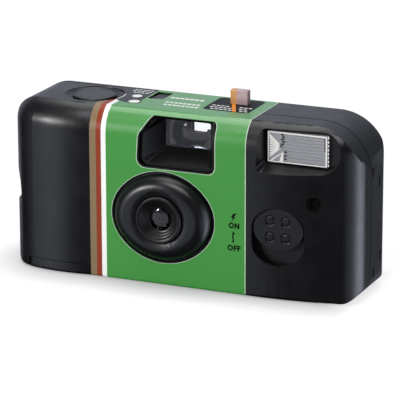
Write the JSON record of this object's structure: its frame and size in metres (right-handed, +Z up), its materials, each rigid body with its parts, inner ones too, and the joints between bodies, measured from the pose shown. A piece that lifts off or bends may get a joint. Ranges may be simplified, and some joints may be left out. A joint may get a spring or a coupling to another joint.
{
  "type": "disposable film camera",
  "caption": "Single-use 35 mm film camera in a rounded plastic body with a printed band, lens, viewfinder, flash with slide switch, shutter button and film wheel.",
  "frame": {"origin": "middle of the base, at the centre of the overall box", "axes": "+X along the width towards the flash, -Y to the front where the lens looks, +Z up"},
  "size_m": [0.116, 0.034, 0.0574],
  "materials": {
    "charcoal_plastic": "fine satin grain",
    "black_plastic": "satin",
    "label_film": "printed, glossy",
    "clear_plastic": "polished",
    "amber_clear": "polished",
    "white_plastic": "satin",
    "spring_steel": "bright",
    "tin": "printed tin",
    "tin_cap": "satin",
    "film_base": "glossy back",
    "mirror_metal": "polished",
    "board_green": "solder mask",
    "sleeve": "shrink sleeve",
    "copper": "enamelled winding",
    "cell_jacket": "printed jacket",
    "contact_brass": "bright"
  },
  "bodies": {
    "camera_body": {"front_cover": "charcoal_plastic", "rear_cover": "charcoal_plastic", "label": "label_film", "main_frame": "black_plastic", "lens_surround": "charcoal_plastic", "lens_retainer": "black_plastic", "taking_lens": "clear_plastic", "aperture_plate": "black_plastic", "blade_spring": "spring_steel", "kick_spring": "spring_steel", "counter_window": "clear_plastic", "cartridge_shell": "tin", "cartridge_caps": "tin_cap", "film_strip": "film_base", "viewfinder_hood": "black_plastic", "finder_front_lens": "clear_plastic", "eyepiece_lens": "clear_plastic", "flash_window": "clear_plastic", "flash_reflector": "mirror_metal", "flash_tube": "clear_plastic", "flash_board": "board_green", "capacitor": "sleeve", "transformer": "copper", "pilot_lamp": "amber_clear", "battery": "cell_jacket", "battery_contacts": "contact_brass", "sync_contact": "contact_brass", "switch_contact": "contact_brass"},
    "shutter_button": {"shutter_button": "charcoal_plastic"},
    "lock_lever": {"lock_lever": "white_plastic"},
    "film_advance": {"thumbwheel": "black_plastic", "cartridge_spool": "black_plastic"},
    "sprocket": {"sprocket_shaft": "white_plastic"},
    "film_supply": {"film_roll": "film_base", "supply_spool": "black_plastic"},
    "frame_counter": {"counter_dial": "white_plastic"},
    "flash_switch": {"switch_knob": "charcoal_plastic", "slider_plate": "black_plastic", "light_guide": "amber_clear"},
    "shutter": {"shutter_blade": "spring_steel"},
    "kick_lever": {"kick_lever": "spring_steel"},
    "film_door": {"bottom_lid": "charcoal_plastic"}
  },
  "joints": [
    {"name": "button_press", "type": "slide", "parent": "camera_body", "child": "shutter_button", "axis": [0, 0, -1], "range_m": [0, 0.0007], "stiffness_N_per_m": 1500},
    {"name": "lock_turn", "type": "hinge", "parent": "camera_body", "child": "lock_lever", "pos_m": [-0.0243, -0.0009, 0.04345], "axis": [1, 0, 0], "range_deg": [0, 6.3]},
    {"name": "film_advance_turn", "type": "hinge", "parent": "camera_body", "child": "film_advance", "pos_m": [-0.0398, 0.0029, 0.0489], "axis": [0, 0, 1], "continuous": true},
    {"name": "sprocket_turn", "type": "hinge", "parent": "camera_body", "child": "sprocket", "pos_m": [-0.02005, 0.00625, 0.04], "axis": [0, 0, 1], "continuous": true},
    {"name": "film_supply_turn", "type": "hinge", "parent": "camera_body", "child": "film_supply", "pos_m": [0.0248, 0.00325, 0.02], "axis": [0, 0, 1], "continuous": true},
    {"name": "counter_turn", "type": "hinge", "parent": "camera_body", "child": "frame_counter", "pos_m": [-0.0185, 0.0005, 0.05], "axis": [0, 0, 1], "continuous": true},
    {"name": "flash_slide", "type": "slide", "parent": "camera_body", "child": "flash_switch", "axis": [0, 0, -1], "range_m": [0, 0.0047]},
    {"name": "shutter_turn", "type": "hinge", "parent": "camera_body", "child": "shutter", "pos_m": [-0.01345, -0.0096, 0.0266], "axis": [0, -1, 0], "range_deg": [0, 38], "stiffness_Nm_per_rad": 0.0005},
    {"name": "kick_turn", "type": "hinge", "parent": "camera_body", "child": "kick_lever", "pos_m": [-0.02095, -0.009, 0.0296], "axis": [0, -1, 0], "range_deg": [0, 20], "stiffness_Nm_per_rad": 0.0005},
    {"name": "film_door_open", "type": "hinge", "parent": "camera_body", "child": "film_door", "pos_m": [-0.0412, 0.0136, 0.00065], "axis": [1, 0, 0], "range_deg": [0, 95]}
  ],
  "couplings": [
    {"joint": "lock_turn", "follows": "button_press", "rad_per_m": 151},
    {"joint": "sprocket_turn", "follows": "film_advance_turn", "ratio": 1},
    {"joint": "film_supply_turn", "follows": "film_advance_turn", "ratio": 0.69},
    {"joint": "counter_turn", "follows": "film_advance_turn", "ratio": -0.0278}
  ]
}
